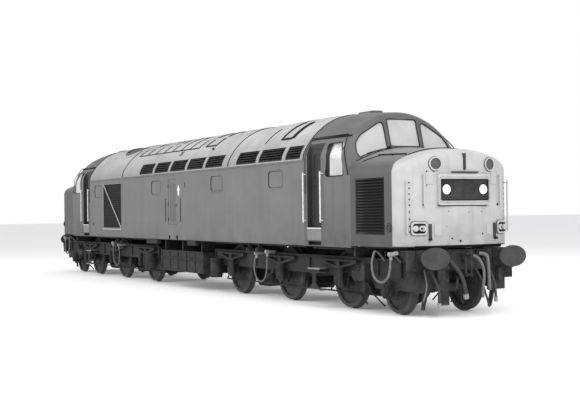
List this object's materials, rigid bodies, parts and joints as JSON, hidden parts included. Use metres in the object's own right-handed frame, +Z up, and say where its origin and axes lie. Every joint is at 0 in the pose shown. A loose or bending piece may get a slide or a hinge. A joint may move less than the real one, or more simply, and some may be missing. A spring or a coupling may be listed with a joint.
{
  "type": "nose-cab diesel locomotive",
  "caption": "Diesel locomotive with a nose and cab at each end, arched roof, louvred sides and swinging rigid-axle bogies with outer idler axles.",
  "frame": {"origin": "centre of the locomotive's length and width, on the floor under the wheel flanges", "axes": "+X along the length towards end 1, the end with the louvred nose; +Y to the left seen from inside facing end 1; +Z up"},
  "size_m": [21.184, 2.852, 3.979],
  "materials": {
    "body_side": "dull weathered paint",
    "roof": "dusty weathered paint",
    "warning_panel": "pale dull paint",
    "grille": "dirty dark paint",
    "glass": "clear",
    "lamp_metal": "worn paint",
    "cab_interior": "matt",
    "engine": "oily paint",
    "chassis": "grimy black",
    "running_gear": "grimy black with dust",
    "wheel": "brake dust with bright treads",
    "hose": "matt rubber"
  },
  "bodies": {
    "body": {"underframe": "chassis", "side_right": "body_side", "side_left": "body_side", "roof_1": "roof", "roof_2": "roof", "roof_3": "roof", "roof_filters": "grille", "fan_grille": "grille", "side_louvres": "grille", "nose_louvres": "grille", "cab_shell_1": "body_side", "cab_shell_2": "body_side", "cab_front_1": "warning_panel", "cab_front_2": "warning_panel", "nose_1": "warning_panel", "nose_2": "warning_panel", "cab_glass": "glass", "headcodes": "warning_panel", "nose_lamps": "lamp_metal", "handrails": "lamp_metal", "bulkheads": "cab_interior", "cab_controls": "cab_interior", "engine_block": "engine", "battery_boxes": "chassis"},
    "cab_door_1_right": {"cab_door_1_right": "body_side"},
    "cab_door_1_left": {"cab_door_1_left": "body_side"},
    "cab_door_2_left": {"cab_door_2_left": "body_side"},
    "cab_door_2_right": {"cab_door_2_right": "body_side"},
    "mid_door_right": {"mid_door_right": "body_side"},
    "mid_door_left": {"mid_door_left": "body_side"},
    "bogie_1": {"bogie_frame_1": "running_gear", "bogie_gear_1": "running_gear", "headstock_1": "running_gear", "motors_1": "running_gear", "brakes_and_steps_1": "running_gear", "hose_a_1": "hose", "hose_b_1": "hose", "hose_c_1": "hose", "hose_coupling_a_1": "lamp_metal", "hose_coupling_b_1": "lamp_metal", "hose_coupling_c_1": "lamp_metal"},
    "wheelset_1_1": {"wheelset_1_1": "wheel"},
    "wheelset_1_2": {"wheelset_1_2": "wheel"},
    "wheelset_1_3": {"wheelset_1_3": "wheel"},
    "wheelset_1_4": {"wheelset_1_4": "wheel"},
    "bogie_2": {"bogie_frame_2": "running_gear", "bogie_gear_2": "running_gear", "headstock_2": "running_gear", "motors_2": "running_gear", "brakes_and_steps_2": "running_gear", "hose_a_2": "hose", "hose_b_2": "hose", "hose_c_2": "hose", "hose_coupling_a_2": "lamp_metal", "hose_coupling_b_2": "lamp_metal", "hose_coupling_c_2": "lamp_metal"},
    "wheelset_2_1": {"wheelset_2_1": "wheel"},
    "wheelset_2_2": {"wheelset_2_2": "wheel"},
    "wheelset_2_3": {"wheelset_2_3": "wheel"},
    "wheelset_2_4": {"wheelset_2_4": "wheel"}
  },
  "joints": [
    {"name": "bogie_1_swing", "type": "hinge", "parent": "body", "child": "bogie_1", "pos_m": [5.23, 0, 1.1], "axis": [0, 0, 1], "range_deg": [-3.5, 3.5]},
    {"name": "wheelset_1_1_spin", "type": "hinge", "parent": "bogie_1", "child": "wheelset_1_1", "pos_m": [9.334, 0, 0.485], "axis": [0, 1, 0], "continuous": true},
    {"name": "wheelset_1_2_spin", "type": "hinge", "parent": "bogie_1", "child": "wheelset_1_2", "pos_m": [7.658, 0, 0.5995], "axis": [0, 1, 0], "continuous": true},
    {"name": "wheelset_1_3_spin", "type": "hinge", "parent": "bogie_1", "child": "wheelset_1_3", "pos_m": [5.22, 0, 0.5995], "axis": [0, 1, 0], "continuous": true},
    {"name": "wheelset_1_4_spin", "type": "hinge", "parent": "bogie_1", "child": "wheelset_1_4", "pos_m": [2.781, 0, 0.5995], "axis": [0, 1, 0], "continuous": true},
    {"name": "bogie_2_swing", "type": "hinge", "parent": "body", "child": "bogie_2", "pos_m": [-5.23, 0, 1.1], "axis": [0, 0, 1], "range_deg": [-3.5, 3.5]},
    {"name": "wheelset_2_1_spin", "type": "hinge", "parent": "bogie_2", "child": "wheelset_2_1", "pos_m": [-9.334, 0, 0.485], "axis": [0, 1, 0], "continuous": true},
    {"name": "wheelset_2_2_spin", "type": "hinge", "parent": "bogie_2", "child": "wheelset_2_2", "pos_m": [-7.658, 0, 0.5995], "axis": [0, 1, 0], "continuous": true},
    {"name": "wheelset_2_3_spin", "type": "hinge", "parent": "bogie_2", "child": "wheelset_2_3", "pos_m": [-5.22, 0, 0.5995], "axis": [0, 1, 0], "continuous": true},
    {"name": "wheelset_2_4_spin", "type": "hinge", "parent": "bogie_2", "child": "wheelset_2_4", "pos_m": [-2.781, 0, 0.5995], "axis": [0, 1, 0], "continuous": true},
    {"name": "cab_door_1_right_hinge", "type": "hinge", "parent": "body", "child": "cab_door_1_right", "pos_m": [6.979, -1.23, 2.4], "axis": [0, 0, 1], "range_deg": [0, 88]},
    {"name": "cab_door_1_left_hinge", "type": "hinge", "parent": "body", "child": "cab_door_1_left", "pos_m": [6.979, 1.23, 2.4], "axis": [0, 0, -1], "range_deg": [0, 88]},
    {"name": "cab_door_2_left_hinge", "type": "hinge", "parent": "body", "child": "cab_door_2_left", "pos_m": [-6.979, 1.23, 2.4], "axis": [0, 0, 1], "range_deg": [0, 88]},
    {"name": "cab_door_2_right_hinge", "type": "hinge", "parent": "body", "child": "cab_door_2_right", "pos_m": [-6.979, -1.23, 2.4], "axis": [0, 0, -1], "range_deg": [0, 88]},
    {"name": "mid_door_right_hinge", "type": "hinge", "parent": "body", "child": "mid_door_right", "pos_m": [-0.3675, -1.325, 2.2], "axis": [0, 0, 1], "range_deg": [0, 90]},
    {"name": "mid_door_left_hinge", "type": "hinge", "parent": "body", "child": "mid_door_left", "pos_m": [-0.3675, 1.325, 2.2], "axis": [0, 0, -1], "range_deg": [0, 90]}
  ]
}
